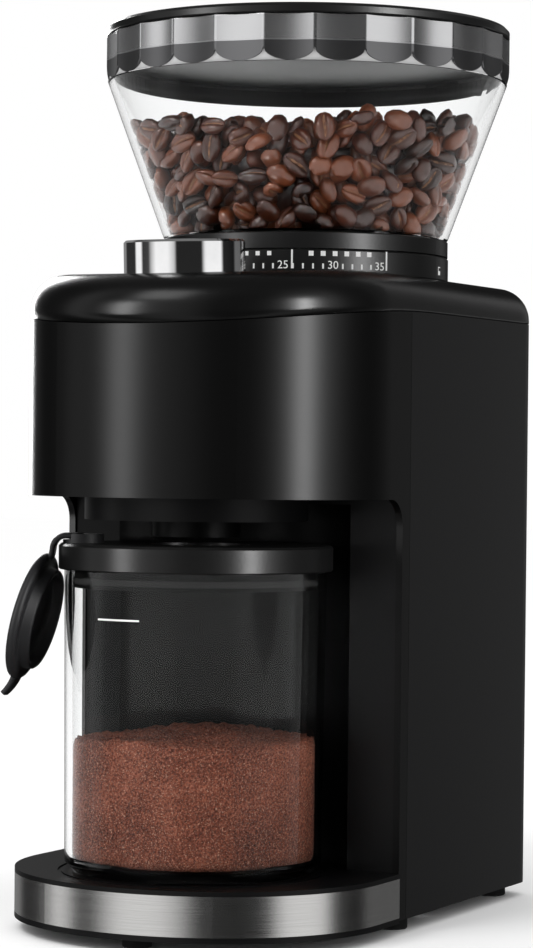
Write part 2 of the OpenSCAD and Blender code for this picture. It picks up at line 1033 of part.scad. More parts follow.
module hopper_foot() {
    color("#0e0e0f")
        translate([0, hopper_y, 0])
            rotate_extrude($fn = 144)
                polygon([[hopper_foot_r - 4.8, dial_top + slip], [hopper_foot_r, dial_top + slip],
                         [hopper_foot_r, cone_z - 1], [hopper_foot_r - 0.6, cone_z - 0.55],
                         [hopper_foot_r - 4, cone_z - 3.1], [hopper_foot_r - 4.8, cone_z - 3.5]]);
}

flute_deep = 1;
band_in_r = hopper_top_r - 1;

// clear grip band with shallow concave flutes cut into its outside
module hopper_grip() {
    half_flute = 0.94 * 180 * hopper_r / flutes * PI / 180;
    flute_r = half_flute * half_flute / (2 * flute_deep);
    color("#cfd2d4")
        translate([0, hopper_y, 0])
            difference() {
                tube(hopper_r, band_in_r, grip_z, lid_z - slip);
                for (i = [0:flutes - 1])
                    rotate([0, 0, i * 360 / flutes])
                        translate([hopper_r + flute_r - flute_deep, 0, grip_z + 3])
                            cylinder(r = flute_r, h = 8.5, $fn = 120);
            }
}

// lid with a sunk middle, whose skirt drops inside the hopper's mouth
module hopper_lid() {
    skirt_low = lid_z - 9.1;
    color("#0d0d0e")
        translate([0, hopper_y, 0])
            rotate_extrude($fn = 180)
                polygon([[0, skirt_low], [plug_r, skirt_low], [plug_r, lid_z], [hopper_r - 0.4, lid_z],
                         [hopper_r, lid_z + 0.4], [hopper_r, lid_top - 1.1],
                         [hopper_r - 1.1, lid_top], [plug_r - 2.5, lid_top],
                         [plug_r - 4.5, skirt_low + 2], [0, skirt_low + 2]]);
}

/* ---- knob and controls ---- */

board_posts = [[-29, -11], [29, -11], [-29, 21], [29, 21]];

// places a child on the knob's axis, square to the sloping cover
module at_knob() {
    translate([0, -knob_y, top_z - (knob_y - fall_y) * tan(knob_tilt)])
        rotate([knob_tilt, 0, 0])
            children();
}

module selector_knob() {
    color("#d5d7d9")
        at_knob()
            difference() {
                rotate_extrude($fn = 144)
                    polygon([[0, knob_seat + slip], [knob_r - 0.3, knob_seat + slip],
                             [knob_r, knob_seat + slip + 0.3], [knob_r, knob_h - 0.8],
                             [knob_r - 0.8, knob_h], [0, knob_h]]);
                disc(knob_r - knob_t, -20, knob_h - 2.6);
                disc(button_r + 0.3, 0, far);
            }
}

module knob_hub() {
    color("#2b2c2d")
        at_knob() {
            tube(hub_r, stem_r + 0.4, hub_z, knob_h - 5.6);
            tube(knob_r - knob_t, stem_r + 0.4, knob_h - 7.2, knob_h - 5.6);
        }
}

module start_button() {
    color("#cfd1d3")
        at_knob() {
            rotate_extrude($fn = 96)
                polygon([[0, knob_h - 3.2], [button_r, knob_h - 3.2], [button_r, knob_h - 0.2],
                         [button_r - 0.5, knob_h + 0.3], [0, knob_h + 0.3]]);
            disc(stem_r, switch_top + button_travel + slip, knob_h - 3);
        }
}

module knob_encoder() {
    color("#3c5a7a")
        at_knob()
            difference() {
                box(-8, 8, -8, 8, board_z + board_t, encoder_top);
                disc(hub_r + run_gap, -40, far);
            }
}

module start_switch() {
    color("#4a4b4d")
        at_knob() {
            box(-3, 3, -3, 3, board_z + board_t, switch_top - 1.8);
            disc(1.6, switch_top - 2, switch_top);
        }
}

module control_board() {
    color("#1f5b34")
        at_knob()
            box(-34, 34, -16, 26, board_z, board_z + board_t);
}

module power_board() {
    color("#7a5a2a") {
        box(-56.5, -55, 30, 74, 40, 110);
        box(-55, -45, 36, 48, 60, 84);
        box(-55, -49, 52, 70, 46, 62);
    }
}

plunger_x = 45;
plunger_r = 1.6;
switch_z = 208;

module interlock_switch() {
    color("#2f3133")
        difference() {
            box(plunger_x - 4, plunger_x + 4, hopper_y - 8, hopper_y + 8, switch_z - 4, top_z - wall);
            translate([plunger_x, hopper_y, switch_z - 3])
                cylinder(r = plunger_r + run_gap, h = 40);
        }
}

module interlock_plunger() {
    color("#c8322a")
        translate([plunger_x, hopper_y, 0])
            disc(plunger_r, switch_z - 1, dial_z - slip);
}

gland_z = 26;
gland_r = 6.5;

module cord_gland() {
    color("#202021")
        translate([0, body_back, gland_z])
            rotate([90, 0, 0])
                difference() {
                    union() {
                        translate([0, 0, -2.4])
                            cylinder(r = gland_r + 2.5, h = 2.4);
                        cylinder(r = gland_r, h = wall);
                        translate([0, 0, wall])
                            cylinder(r = gland_r + 2, h = 2);
                    }
                    translate([0, 0, -10])
                        cylinder(r = 3.6, h = 30);
                }
}

module housing_screws() {
    color("#aeb0b2")
        for (p = screw_spots)
            translate([p[0], p[1], 0])
                difference() {
                    union() {
                        cylinder(r = 1.5, h = band_z + 9, $fn = 24);
                        translate([0, 0, foot_h - foot_head_h])
                            cylinder(r = foot_head_r, h = foot_head_h, $fn = 36);
                    }
                    translate([0, 0, -1])
                        cylinder(r = 5, h = foot_h + 1 - foot_head_h, $fn = 36);
                }
}

module gearbox_screws() {
    color("#aeb0b2")
        for (p = box_screws)
            translate([p[0], p[1], 0]) {
                disc(1.5, motor_top + 1, box_top + box_cover_t);
                disc(box_head_r, box_top + box_cover_t, box_top + box_cover_t + box_head_h);
            }
}

/* ---- container ---- */

module container() {
    color("#dfe6ea", 0.35)
        translate([0, -jar_y, 0])
            rotate_extrude($fn = 144)
                polygon([[0, jar_z], [jar_foot_r - 3, jar_z], [jar_foot_r, jar_z + 3],
                         [jar_r, jar_top_z], [jar_r - jar_t, jar_top_z],
                         [jar_foot_r - jar_t, jar_z + 5], [jar_foot_r - jar_t - 1.5, jar_z + 3.4],
                         [0, jar_z + 3.4]]);
}

jar_lid_low = jar_top_z + 0.3;

module container_lid() {
    color("#0f0f10")
        translate([0, -jar_y, 0])
            difference() {
                rotate_extrude($fn = 144)
                    polygon([
                        [fill_r, jar_lid_z - 2.2], [fill_r, jar_lid_z], [jar_lid_r - 0.8, jar_lid_z],
                        [jar_lid_r, jar_lid_z - 0.8], [jar_lid_r, jar_lid_low + 0.4],
                        [jar_lid_r - 0.4, jar_lid_low], [jar_r - jar_t - 0.8, jar_lid_low],
                        [jar_r - jar_t - 0.8, jar_lid_low - 6], [jar_r - jar_t - 3, jar_lid_low - 6],
                        [jar_r - jar_t - 3, jar_lid_z - 2.2]
                    ]);
            }
}

module lid_seal() {
    color("#d9d9d6")
        translate([0, -jar_y, 0])
            tube(jar_r - jar_t - 0.4, jar_r - jar_t - 0.8, jar_lid_low - 4.6, jar_lid_low - 2.6);
}

// places a child from the flap's own frame, whose +X points outwards
module at_flap() {
    translate([0, -jar_y, 0])
        rotate([0, 0, -90 - flap_az])
            children();
}

// the cap hangs from the strap's end and leans outwards
module at_cap() {
    translate([hinge_u + 5.2, 0, hinge_z - 6.4])
        rotate([0, -flap_lean, 0])
            translate([0, 0, -cap_r - 0.6])
                rotate([0, 90, 0])
                    children();
}

module flap_anchor() {
    color("#18181a")
        at_flap()
            difference() {
                translate([anchor_u, 0, 0])
                    disc(anchor_r, jar_lid_z, jar_lid_z + anchor_h);
                box(hinge_u - strap_t / 2 - slip, far, -strap_w / 2 - slip, strap_w / 2 + slip,
                    hinge_z - strap_t / 2 - slip, far);
            }
}

// strap that rolls in the anchor's slot and bends down over the lid's edge
module flap_strap() {
    bend_r = 4.4;
    u0 = hinge_u + 1.8;
    color("#1b1b1d")
        at_flap()
            difference() {
                translate([0, strap_w / 2, 0])
                    rotate([90, 0, 0])
                        linear_extrude(strap_w) {
                            translate([hinge_u, hinge_z])
                                circle(strap_t / 2, $fn = 32);
                            translate([hinge_u, hinge_z - strap_t / 2])
                                square([u0 - hinge_u, strap_t]);
                            translate([u0, hinge_z + strap_t / 2 - bend_r])
                                intersection() {
                                    difference() {
                                        circle(bend_r, $fn = 48);
                                        circle(bend_r - strap_t, $fn = 48);
                                    }
                                    square(bend_r + 1);
                                }
                            translate([u0 + bend_r - strap_t, hinge_z - 8])
                                square([strap_t, 9 - bend_r + eps]);
                        }
                at_cap()
                    cylinder(r = cap_r, h = cap_t, $fn = 96);
            }
}

// cap hangs from the strap's end and leans outwards
module flap_cap() {
    color("#1b1b1d")
        at_flap()
            at_cap() {
                cylinder(r = cap_r, h = cap_t, $fn = 96);
                tube(fill_r - 0.4, fill_r - 2.4, -3.4, 0.1);
                translate([cap_r - 2, -4, 0.6])
                    cube([9, 8, 2]);
            }
}

bottom_cover();
rubber_feet();
base_tray();
base_band();
container_mat();
front_housing();
rear_housing();
top_cover();
bay_panel();
head_underplate();
chute_skirt();
grounds_chute();
inner_frame();
grinding_chamber();
burr_holder();
gearbox_housing();
gearbox_cover();
upper_bearing();
lower_bearing();
idler_axle();
motor_can();
motor_end_plate();
motor_magnets();
motor_bearings();
control_board();
power_board();
knob_encoder();
start_switch();
interlock_switch();
cord_gland();
housing_screws();
gearbox_screws();
dial_ring();
hopper();
hopper_foot();
hopper_grip();
hopper_lid();
burr_carrier();
ring_burr();
inner_burr();
drive_shaft();
output_gear();
sweeper();
burr_nut();
idler_gear();
motor_shaft();
armature();
commutator();
motor_pinion();
cooling_fan();
selector_knob();
knob_hub();
start_button();
interlock_plunger();
container();
container_lid();
lid_seal();
flap_anchor();
flap_strap();
flap_cap();
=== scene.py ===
import json
import math

import bpy
import bmesh
import numpy as np
from mathutils import Matrix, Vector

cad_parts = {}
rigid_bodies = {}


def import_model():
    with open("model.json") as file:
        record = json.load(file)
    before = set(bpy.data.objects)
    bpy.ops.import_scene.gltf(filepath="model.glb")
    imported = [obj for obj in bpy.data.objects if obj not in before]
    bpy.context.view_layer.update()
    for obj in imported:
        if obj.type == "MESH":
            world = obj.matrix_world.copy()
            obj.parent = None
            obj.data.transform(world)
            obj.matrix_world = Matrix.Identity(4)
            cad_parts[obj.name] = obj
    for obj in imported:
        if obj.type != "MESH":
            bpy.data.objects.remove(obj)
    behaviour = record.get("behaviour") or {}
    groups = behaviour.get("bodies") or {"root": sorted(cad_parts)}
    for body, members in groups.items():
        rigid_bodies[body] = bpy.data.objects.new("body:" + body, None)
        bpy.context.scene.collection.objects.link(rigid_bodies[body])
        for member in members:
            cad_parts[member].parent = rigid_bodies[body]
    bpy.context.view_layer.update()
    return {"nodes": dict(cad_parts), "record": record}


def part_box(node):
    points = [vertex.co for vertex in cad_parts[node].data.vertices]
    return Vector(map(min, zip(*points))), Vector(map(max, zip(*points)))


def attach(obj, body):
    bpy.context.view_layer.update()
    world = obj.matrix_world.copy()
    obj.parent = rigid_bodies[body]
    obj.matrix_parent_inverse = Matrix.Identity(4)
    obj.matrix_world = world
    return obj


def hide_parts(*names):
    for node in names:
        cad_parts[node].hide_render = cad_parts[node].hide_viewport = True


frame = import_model()
mm = 0.001
rng = np.random.default_rng(11)


def middleOf(node):
    low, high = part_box(node)
    return [(low[k] + high[k]) / 2 for k in range(3)]


# axes of the turned parts, read from the frame
hopperY = middleOf("hopper")[1]
jarY = middleOf("container")[1]
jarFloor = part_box("container")[0][2]
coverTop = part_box("top_cover")[1][2]
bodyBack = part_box("rear_housing")[1][1]
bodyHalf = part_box("rear_housing")[1][0]
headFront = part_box("front_housing")[0][1]
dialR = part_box("dial_ring")[1][0]
print("frame loaded", len(frame["nodes"]), "nodes")


# mesh helpers

def meshPiece(name, points, faces, body, slotName, smooth=True, **perPoint):
    mesh = bpy.data.meshes.new(name)
    mesh.from_pydata(np.asarray(points, float).reshape(-1, 3).tolist(), [], np.asarray(faces).tolist())
    for key, value in perPoint.items():
        values = np.asarray(value, np.float32).ravel()
        mesh.attributes.new(key, "FLOAT", "POINT").data.foreach_set("value", values)
    work = bmesh.new()
    work.from_mesh(mesh)
    bmesh.ops.remove_doubles(work, verts=work.verts, dist=1e-6)
    bmesh.ops.recalc_face_normals(work, faces=work.faces)
    work.to_mesh(mesh)
    work.free()
    mesh.polygons.foreach_set("use_smooth", [smooth] * len(mesh.polygons))
    piece = bpy.data.objects.new(name, mesh)
    bpy.context.scene.collection.objects.link(piece)
    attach(piece, body)
    return piece


def gridFaces(rows, cols, closeRows=False, closeCols=False):
    # quads between neighbouring rows and columns, with the last joined to the first where closed
    r = np.arange(rows if closeRows else rows - 1)
    c = np.arange(cols if closeCols else cols - 1)
    r, c = np.meshgrid(r, c, indexing="ij")
    r2, c2 = (r + 1) % rows, (c + 1) % cols
    return np.stack([r * cols + c, r * cols + c2, r2 * cols + c2, r2 * cols + c], -1).reshape(-1, 4)


def turned(profile, centreY, segments=160, wobble=None):
    # profile points (radius, height) carried round a vertical axis: x = r sin t, y = centre - r cos t
    profile = np.asarray(profile, float)
    t = np.linspace(0, 2 * np.pi, segments, endpoint=False)
    r = np.repeat(profile[:, :1], segments, 1)
    z = np.repeat(profile[:, 1:], segments, 1)
    if wobble is not None:
        r, z = wobble(r, z, t[None, :])
    return np.stack([r * np.sin(t), centreY - r * np.cos(t), z], -1)


def smoothNoise(x, y, z, seed, waves=24, low=0.6, high=3.0):
    # sum of sines with random directions, so it is smooth and repeats the same each run
    pick = np.random.default_rng(seed)
    total = np.zeros(np.broadcast(x, y, z).shape)
    for _ in range(waves):
        d = pick.normal(size=3)
        d *= pick.uniform(low, high) / np.linalg.norm(d)
        total += np.sin(d[0] * x + d[1] * y + d[2] * z + pick.uniform(0, 6.28))
    return total / math.sqrt(waves)


# shader helpers

# a socket that takes part in sums: each operator adds a Math node
class Wire:
    def __init__(self, finish, socket):
        self.finish, self.socket = finish, socket

    def maths(self, operation, first, second=None):
        values = {0: first} if second is None else {0: first, 1: second}
        return self.finish.node("ShaderNodeMath", {"operation": operation}, values)

    def __add__(self, other): return self.maths("ADD", self, other)
    def __radd__(self, other): return self.maths("ADD", other, self)
    def __sub__(self, other): return self.maths("SUBTRACT", self, other)
    def __rsub__(self, other): return self.maths("SUBTRACT", other, self)
    def __mul__(self, other): return self.maths("MULTIPLY", self, other)
    def __rmul__(self, other): return self.maths("MULTIPLY", other, self)
    def __gt__(self, other): return self.maths("GREATER_THAN", self, other)
    def __pow__(self, other): return self.maths("POWER", self, other)


# one material; node() adds any other node, its settings first, then the values or links of its sockets
class Finish:
    def __init__(self, name, **uniform):
        self.material = bpy.data.materials.new(name)
        self.material.use_nodes = True
        self.tree = self.material.node_tree
        self.shader = self.tree.nodes["Principled BSDF"]
        for key, value in uniform.items():
            self.shader.inputs[self.label(key)].default_value = value
        self.place = self.node("ShaderNodeTexCoord", {}, {}, "Object")

    @staticmethod
    def label(key):
        words = {"ior": "IOR", "specular": "Specular IOR Level", "transmission": "Transmission Weight",
                 "coat": "Coat Weight", "coatRoughness": "Coat Roughness", "color": "Base Color",
                 "metallic": "Metallic", "roughness": "Roughness", "normal": "Normal"}
        return words[key]

    def node(self, kind, settings, values, output=0):
        made = self.tree.nodes.new(kind)
        for key, value in settings.items():
            if key == "stops":
                while len(made.color_ramp.elements) < len(value):
                    made.color_ramp.elements.new(0.5)
                for stop, (at, tint) in zip(made.color_ramp.elements, value):
                    stop.position, stop.color = at, (*tint, 1)
            else:
                setattr(made, key, value)
        for key, value in values.items():
            if isinstance(value, Wire):
                self.tree.links.new(value.socket, made.inputs[key])
            else:
                made.inputs[key].default_value = value
        return Wire(self, made.outputs[output])

    def mapped(self, scale, turn=(0, 0, 0)):
        return self.node("ShaderNodeMapping", {}, {"Vector": self.place, "Scale": scale, "Rotation": turn})

    def height(self):
        return self.node("ShaderNodeSeparateXYZ", {}, {"Vector": self.place}, "Z")

    def reach(self):
        # distance from the hopper's axis
        flat = self.node("ShaderNodeVectorMath", {"operation": "MULTIPLY_ADD"},
                         {0: self.place, 1: (1, 1, 0), 2: (0, -hopperY, 0)})
        return self.node("ShaderNodeVectorMath", {"operation": "LENGTH"}, {0: flat}, "Value")

    def noise(self, scale, detail=3.0, rough=0.5, vector=None):
        return self.node("ShaderNodeTexNoise", {}, {"Vector": vector or self.place, "Scale": scale,
                                                    "Detail": detail, "Roughness": rough}, "Fac")

    def cells(self, scale, vector=None, feature="F1", output="Distance"):
        return self.node("ShaderNodeTexVoronoi", {"feature": feature},
                         {"Vector": vector or self.place, "Scale": scale}, output)

    def ramp(self, factor, *stops):
        return self.node("ShaderNodeValToRGB", {"stops": stops}, {"Fac": factor})

    def blend(self, factor, first, second):
        made = self.tree.nodes.new("ShaderNodeMix")
        made.data_type = "RGBA"
        for slot, value in ((0, factor), (6, first), (7, second)):
            if isinstance(value, Wire):
                self.tree.links.new(value.socket, made.inputs[slot])
            else:
                made.inputs[slot].default_value = value if slot == 0 else (*value, 1)
        return Wire(self, made.outputs[2])

    def bump(self, height, distance, strength=1.0):
        self.feed("normal", self.node("ShaderNodeBump", {}, {"Height": height, "Distance": distance,
                                                             "Strength": strength}))

    def feed(self, key, wire):
        self.tree.links.new(wire.socket, self.shader.inputs[self.label(key)])


def blackShell(name, tint, rough, grain, spread=0.06, stretch=(1, 1, 1), depth=0.00002, **more):
    # moulded or painted black: cloudy roughness over a fine grain
    f = Finish(name, **more)
    soft = f.noise(9, 2)
    fine = f.noise(grain, 3, 0.6, f.mapped(stretch))
    f.feed("color", f.blend(soft, [c * 0.82 for c in tint], [c * 1.18 for c in tint]))
    f.feed("roughness", rough - spread / 2 + spread * (0.5 * soft + 0.5 * fine))
    f.bump(fine, depth)
    return f.material


def metal(name, tint, rough, grain, stretch=(1, 1, 1), spread=0.1, depth=0.00001, metallic=1.0):
    f = Finish(name, metallic=metallic)
    lines = f.noise(grain, 4, 0.65, f.mapped(stretch))
    f.feed("color", f.blend(lines, [c * 0.78 for c in tint], [min(1, c * 1.1) for c in tint]))
    f.feed("roughness", rough - spread / 2 + spread * lines)
    f.bump(lines, depth)
    return f.material


def clearPlastic(name, tint, rough, ior=1.16, scratch=0.03):
    f = Finish(name, transmission=1.0, ior=ior, color=(*tint, 1))
    haze = f.noise(60, 3)
    f.feed("roughness", rough + scratch * haze * haze)
    return f.material


def rubber(name, tint, rough=0.55):
    f = Finish(name, specular=0.2)
    dust = f.noise(40, 4, 0.6)
    fine = f.noise(900, 2)
    f.feed("color", f.blend(dust, [c * 0.8 for c in tint], [c * 1.3 for c in tint]))
    f.feed("roughness", rough + 0.12 * dust)
    f.bump(fine, 0.00003)
    return f.material


def circuitBoard(name):
    f = Finish(name, specular=0.5)
    tracks = f.cells(260, feature="DISTANCE_TO_EDGE") > 0.06
    f.feed("color", f.blend(tracks, (0.05, 0.26, 0.12), (0.015, 0.12, 0.05)))
    f.feed("roughness", 0.35 + 0.1 * f.noise(200))
    f.bump(tracks, 0.00003)
    return f.material


def brushedBand():
    f = Finish("brushedBand", metallic=1.0)
    lines = f.noise(30, 5, 0.7, f.mapped((1, 1, 140)))
    broad = f.noise(16, 2, 0.5, f.mapped((1, 1, 0.05)))
    f.feed("color", f.blend(lines * 0.6 + broad * 0.4, (0.34, 0.335, 0.33), (0.80, 0.795, 0.78)))
    f.feed("roughness", 0.17 + 0.12 * lines)
    f.bump(lines, 0.000015)
    return f.material


def beanSkin():
    # each bean has its own tone, and pale chaff lies in its crease
    f = Finish("beanSkin", specular=0.6, coatRoughness=0.18)
    tone = f.node("ShaderNodeAttribute", {"attribute_name": "tone"}, {}, "Fac")
    crease = f.node("ShaderNodeAttribute", {"attribute_name": "crease"}, {}, "Fac")
    cloud = f.noise(110, 3, 0.6)
    fine = f.noise(800, 4, 0.7)
    skin = f.ramp(tone * 0.5 + cloud * 0.3 + fine * 0.2, (0.2, (0.016, 0.003, 0.001)),
                  (0.5, (0.095, 0.020, 0.006)), (0.8, (0.29, 0.078, 0.026)))
    chaff = f.noise(600, 2, 0.6) > 0.5
    f.feed("color", f.blend((crease > 0.55) * (0.35 + 0.65 * chaff), skin, (0.36, 0.17, 0.08)))
    f.feed("coat", 0.5 * (1 - crease))
    f.feed("roughness", 0.26 + 0.2 * fine + 0.25 * crease)
    f.bump(fine, 0.0003, 0.6)
    return f.material


def groundCoffee():
    f = Finish("groundCoffee", specular=0.25)
    grain = f.cells(900, output="Distance")
    speck = f.noise(1400, 2, 0.8)
    cloud = f.noise(35, 3)
    base = f.ramp(cloud * 0.35 + speck * 0.65, (0.34, (0.016, 0.003, 0.0015)),
                  (0.5, (0.14, 0.037, 0.019)), (0.66, (0.36, 0.12, 0.07)))
    pale = f.noise(2200, 1) > 0.66
    f.feed("color", f.blend(pale * 0.75, base, (0.55, 0.32, 0.23)))
    f.feed("roughness", 0.75 + 0.2 * speck)
    f.bump(grain, 0.0006, 0.9)
    return f.material


def gripFinish():
    # mirror-bright above the foot of the lid's skirt, smoky below it, a pale line between, and black inside
    f = Finish("gripPlastic")
    upper = f.height() > 0.3041
    line = (f.height() > 0.3037) - upper
    outer = f.reach() > 0.0717
    cloud = f.noise(40, 2, 0.5)
    tint = f.blend(upper, (0.15, 0.15, 0.155), (0.66, 0.66, 0.67))
    tint = f.blend(line, f.blend(cloud * 0.2, tint, (0.4, 0.4, 0.4)), (0.62, 0.62, 0.63))
    f.feed("color", f.blend(outer, (0.003, 0.003, 0.003), tint))
    f.feed("metallic", outer * 0.95)
    f.feed("roughness", 0.20 + 0.08 * cloud + 0.06 * (1 - upper) + 0.3 * (1 - outer))
    f.bump(cloud, 0.000004)
    return f.material


def footFinish():
    f = Finish("gripFoot", specular=0.3)
    haze = f.noise(80, 2)
    outer = f.reach() > 0.0718
    tint = f.blend(haze, (0.50, 0.50, 0.50), (0.62, 0.62, 0.62))
    f.feed("color", f.blend(outer, (0.003, 0.003, 0.003), tint))
    f.feed("roughness", 0.3 + 0.1 * haze)
    return f.material


def printedWhite():
    f = Finish("printedWhite", specular=0.3)
    worn = f.noise(300, 3)
    f.feed("color", f.blend(worn, (0.78, 0.78, 0.77), (0.92, 0.92, 0.91)))
    f.feed("roughness", 0.5 + 0.1 * worn)
    return f.material


finishes = {
    "base_plastic": blackShell("basePlastic", (0.004, 0.004, 0.0042), 0.40, 900, specular=0.16),
    "foot_rubber": rubber("footRubber", (0.006, 0.006, 0.006), 0.7),
    "brushed_band": brushedBand(),
    "front_shell": blackShell("frontShell", (0.0007, 0.0007, 0.0007), 0.33, 70, 0.04, (1, 1, 26), 0.000008,
                              specular=0.12),
    "side_shell": blackShell("sideShell", (0.0015, 0.0015, 0.0016), 0.38, 1300, 0.06, (1, 1, 1), 0.00002,
                             specular=0.14),
    "cover_gloss": blackShell("coverGloss", (0.0016, 0.0016, 0.0016), 0.26, 1100, 0.04, (1, 1, 1), 0.000008,
                              specular=0.16),
    "frame_metal": metal("frameMetal", (0.62, 0.63, 0.64), 0.45, 500, depth=0.00006),
    "chamber_plastic": blackShell("chamberPlastic", (0.045, 0.045, 0.047), 0.5, 700),
    "steel": metal("turnedSteel", (0.66, 0.67, 0.68), 0.25, 60, (1, 1, 60)),
    "motor_steel": metal("motorSteel", (0.45, 0.46, 0.47), 0.35, 60, (1, 1, 20)),
    "magnet": metal("magnetFerrite", (0.07, 0.07, 0.075), 0.6, 600, metallic=0.3),
    "bronze": metal("sinteredBronze", (0.62, 0.44, 0.2), 0.42, 900),
    "circuit_board": circuitBoard("circuitBoard"),
    "switch_body": blackShell("switchBody", (0.03, 0.04, 0.07), 0.45, 800),
    "dial_plastic": blackShell("dialPlastic", (0.003, 0.003, 0.003), 0.34, 1000, 0.05, specular=0.16),
    "clear_plastic": clearPlastic("clearPlastic", (0.985, 0.99, 0.99), 0.0),
    "grip_plastic": gripFinish(),
    "lid_plastic": blackShell("lidPlastic", (0.003, 0.003, 0.003), 0.32, 1000, 0.05, specular=0.2),
    "burr_steel": metal("burrSteel", (0.5, 0.5, 0.51), 0.3, 120, (1, 1, 8)),
    "gear_plastic": blackShell("gearPlastic", (0.62, 0.61, 0.55), 0.45, 600),
    "winding": metal("windingCopper", (0.42, 0.2, 0.09), 0.4, 90, (1, 1, 30)),
    "copper": metal("copperBars", (0.66, 0.34, 0.2), 0.3, 90, (1, 1, 6)),
    "chrome": metal("polishedChrome", (0.93, 0.93, 0.94), 0.05, 60, (1, 1, 1), 0.03, 0.0),
    "switch_red": blackShell("switchRed", (0.5, 0.03, 0.02), 0.4, 700),
    "seal_rubber": rubber("sealRubber", (0.03, 0.03, 0.03)),
    "flap_rubber": rubber("flapRubber", (0.007, 0.007, 0.0075), 0.46),
}
extras = {"bean": beanSkin(), "grounds": groundCoffee(), "white": printedWhite(), "gripFoot": footFinish()}

slotOf = {s["node"]: s["material_slot"] for s in frame["record"]["subparts"]}
for nodeName, shown in frame["nodes"].items():
    shown.data.materials.clear()
    shown.data.materials.append(finishes[slotOf[nodeName]])
print("finishes on", len(slotOf), "nodes")


def dress(piece, material):
    piece.data.materials.clear()
    piece.data.materials.append(material)
    return piece


# top cover

coverSizes = {"edge": 12 * mm, "skin": 2.4 * mm, "rearCorner": 13 * mm, "bulge": 60.3 * mm, "frontR": 71 * mm,
              "seamZ": 211.8 * mm, "seamCurve": 680 * mm, "gap": 0.1 * mm, "topCurve": 1020 * mm}


def headOutline(sizes, step=1.6 * mm):
    # broad front arc, two tighter side arcs, straight sides and rounded rear corners, as points and normals
    a, b, r = bodyHalf, sizes["bulge"], sizes["frontR"]
    y0 = headFront + b
    side = (r * r - a * a - (r - b) ** 2) / (2 * (r - a))
    w = math.atan2(a - side, r - b)
    rc = sizes["rearCorner"]
    points, normals = [], []

    def arc(cx, cy, radius, start, end):
        t = np.linspace(start, end, max(3, int(abs(end - start) * radius / step)), endpoint=False)
        n = np.stack([np.sin(t), -np.cos(t)], -1)
        points.append(np.array([cx, cy]) + radius * n)
        normals.append(n)

    def line(x1, y1, x2, y2):
        count = max(2, int(math.hypot(x2 - x1, y2 - y1) / (3 * step)))
        t = np.linspace(0, 1, count, endpoint=False)[:, None]
        d = np.array([x2 - x1, y2 - y1]) / math.hypot(x2 - x1, y2 - y1)
        points.append(np.array([x1, y1]) + t * np.array([x2 - x1, y2 - y1]))
        normals.append(np.repeat([[d[1], -d[0]]], count, 0))

    arc(0, y0 + r - b, r, -w, w)
    arc(a - side, y0, side, w, math.pi / 2)
    line(a, y0, a, bodyBack - rc)
    arc(a - rc, bodyBack - rc, rc, math.pi / 2, math.pi)
    line(a - rc, bodyBack, rc - a, bodyBack)
    arc(rc - a, bodyBack - rc, rc, math.pi, 1.5 * math.pi)
    line(-a, bodyBack - rc, -a, y0)
    arc(side - a, y0, side, 1.5 * math.pi, 2 * math.pi - w)
    return np.concatenate(points), np.concatenate(normals)


def topHeight(y, sizes):
    # level behind, and a circular fall towards the front
    d = np.minimum(0, y + 4 * mm)
    return coverTop - (sizes["topCurve"] - np.sqrt(sizes["topCurve"] ** 2 - d * d))


def seamHeight(y, sizes):
    d = np.minimum(0, y)
    return sizes["seamZ"] - (sizes["seamCurve"] - np.sqrt(sizes["seamCurve"] ** 2 - d * d))


def makeCover(sizes):
    # rows run from the seam up, round the edge, over the top to its middle, and back under the skin
    outline, normal = headOutline(sizes)
    rows = []

    def skinRows(t):
        e = sizes["edge"] - t
        made = []
        base = outline - normal * t
        made.append(np.c_[base, seamHeight(base[:, 1], sizes) + sizes["gap"]])
        for angle in np.radians(np.linspace(0, 90, 13)):
            p = outline - normal * (t + e * (1 - math.cos(angle)))
            made.append(np.c_[p, topHeight(p[:, 1], sizes) - t - e * (1 - math.sin(angle))])
        rim = made[-1][:, :2]
        for f in (0.93, 0.84, 0.72, 0.56, 0.38, 0.2, 0.08, 0.0):
            p = rim * f
            made.append(np.c_[p, topHeight(p[:, 1], sizes) - t])
        return made

    rows = skinRows(0) + skinRows(sizes["skin"])[::-1]
    points = np.stack(rows)
    faces = gridFaces(len(rows), len(outline), True, True)
    cover = meshPiece("coverSkin", points, faces, "body", "cover_gloss")
    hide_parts("top_cover")
    return dress(cover, finishes["cover_gloss"])


makeCover(coverSizes)
print("cover made")


# fluted grip band of the hopper

gripLow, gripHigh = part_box("hopper_grip")
gripSizes = {"flutes": 26, "deep": 1.15 * mm, "scallop": 4.6 * mm, "inner": 71.4 * mm,
             "footR": 71.95 * mm, "footHigh": 6 * mm}


